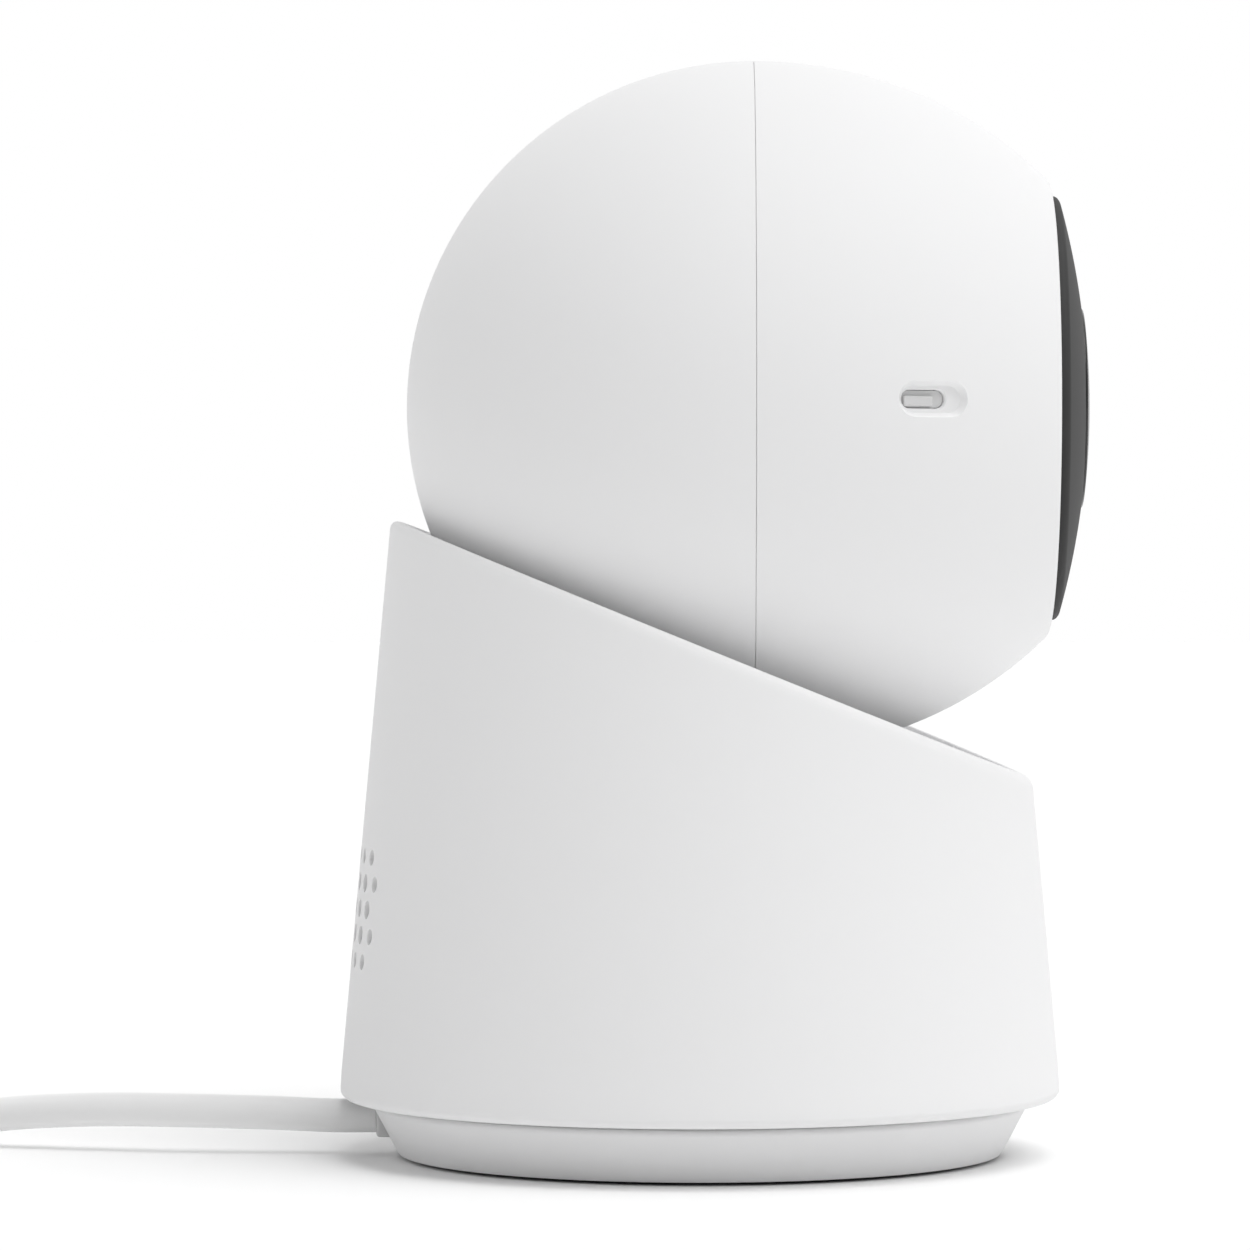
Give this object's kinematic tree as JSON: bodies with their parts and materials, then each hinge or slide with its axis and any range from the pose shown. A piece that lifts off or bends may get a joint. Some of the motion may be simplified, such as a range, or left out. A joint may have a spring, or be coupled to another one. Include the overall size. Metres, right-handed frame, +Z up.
{
  "type": "security camera",
  "caption": "Indoor pan-and-tilt security camera: a ball head with a domed black lens front, tilting in a slanted white tapered body that turns on a low round pedestal.",
  "frame": {"origin": "on the pan axis, at the plain middle of the pedestal underside, level with the resting surface within 0.5 mm", "axes": "+Z up along the pan axis; the lens faces -Y and the lead leaves towards +Y"},
  "size_m": [0.0849, 0.2294, 0.1193],
  "materials": {
    "shell_white": "satin white moulded plastic",
    "inner_white": "moulded inner plastic",
    "satin_black": "satin black plastic",
    "window_black": "glossy dark clear window",
    "lens_glass": "coated lens glass",
    "rubber_dark": "soft dark rubber",
    "rubber_light": "light grey rubber",
    "gear_plastic": "natural bearing plastic",
    "steel": "bare steel",
    "motor_can": "plated motor can",
    "brass": "brass",
    "aluminium": "bare aluminium",
    "circuit_board": "green circuit board with solder mask",
    "cone_paper": "speaker paper",
    "speaker_cloth": "grey acoustic cloth",
    "lamp_clear": "clear lamp resin",
    "lead_white": "white flexible lead jacket"
  },
  "bodies": {
    "pedestal": {"foot_ring": "rubber_dark", "pedestal_floor": "shell_white", "pedestal_shell": "shell_white", "floor_screw_1": "steel", "floor_screw_2": "steel", "floor_screw_3": "steel", "power_board": "circuit_board", "pan_hub": "gear_plastic", "thrust_washer": "gear_plastic", "pan_gear": "gear_plastic", "hub_ring": "steel", "cord_gland": "rubber_light", "power_cord": "lead_white", "cord_coil": "lead_white", "cord_tail": "lead_white", "plug_body": "lead_white", "plug_shell": "steel"},
    "turret": {"body_shell": "shell_white", "turret_floor": "inner_white", "pan_motor": "motor_can", "motor_screw_1": "steel", "motor_screw_2": "steel", "speaker_frame": "steel", "speaker_cone": "cone_paper", "speaker_magnet": "steel", "speaker_cloth": "speaker_cloth", "main_board": "circuit_board", "heat_spreader": "aluminium", "antenna": "brass", "bowl": "shell_white", "stalk": "inner_white", "stalk_screw_1": "steel", "stalk_screw_2": "steel", "tilt_axle": "steel", "tilt_gear": "gear_plastic"},
    "head": {"head_rear_shell": "shell_white", "head_front_shell": "shell_white", "front_bezel": "satin_black", "lens_window": "window_black", "front_lens": "lens_glass", "lens_barrel": "satin_black", "lens_holder": "satin_black", "sensor_board": "circuit_board", "night_light_board": "circuit_board", "night_lamp_1": "lamp_clear", "night_lamp_2": "lamp_clear", "night_lamp_3": "lamp_clear", "night_lamp_4": "lamp_clear", "light_sensor": "lamp_clear", "mic_boot": "rubber_light", "microphone": "motor_can", "head_chassis": "satin_black", "chassis_screw_1": "steel", "chassis_screw_2": "steel", "tilt_bush_left": "gear_plastic", "tilt_bush_right": "gear_plastic", "tilt_motor": "motor_can"},
    "pan_pinion": {"pan_pinion": "brass"},
    "tilt_pinion": {"tilt_pinion": "brass"},
    "reset_button": {"reset_button": "rubber_dark"}
  },
  "joints": [
    {"name": "pan", "type": "hinge", "parent": "pedestal", "child": "turret", "pos_m": [0, 0, 0.01], "axis": [0, 0, 1], "range_deg": [-175, 175]},
    {"name": "tilt", "type": "hinge", "parent": "turret", "child": "head", "pos_m": [0, -0.0058, 0.0815], "axis": [-1, 0, 0], "range_deg": [-15, 60]},
    {"name": "pan_pinion_spin", "type": "hinge", "parent": "turret", "child": "pan_pinion", "pos_m": [-0.01379, -0.01379, 0.0123], "axis": [0, 0, 1], "range_deg": [-600, 600]},
    {"name": "tilt_pinion_spin", "type": "hinge", "parent": "head", "child": "tilt_pinion", "pos_m": [0.0063, 0.00263, 0.08857], "axis": [-1, 0, 0], "range_deg": [-41, 161]},
    {"name": "reset_press", "type": "slide", "parent": "head", "child": "reset_button", "axis": [-0.3003, 0.4105, 0.861], "range_m": [0, 0.0004], "stiffness_N_per_m": 1500}
  ],
  "couplings": [
    {"joint": "pan_pinion_spin", "follows": "pan", "ratio": 3.3333},
    {"joint": "tilt_pinion_spin", "follows": "tilt", "ratio": 2.6667}
  ]
}
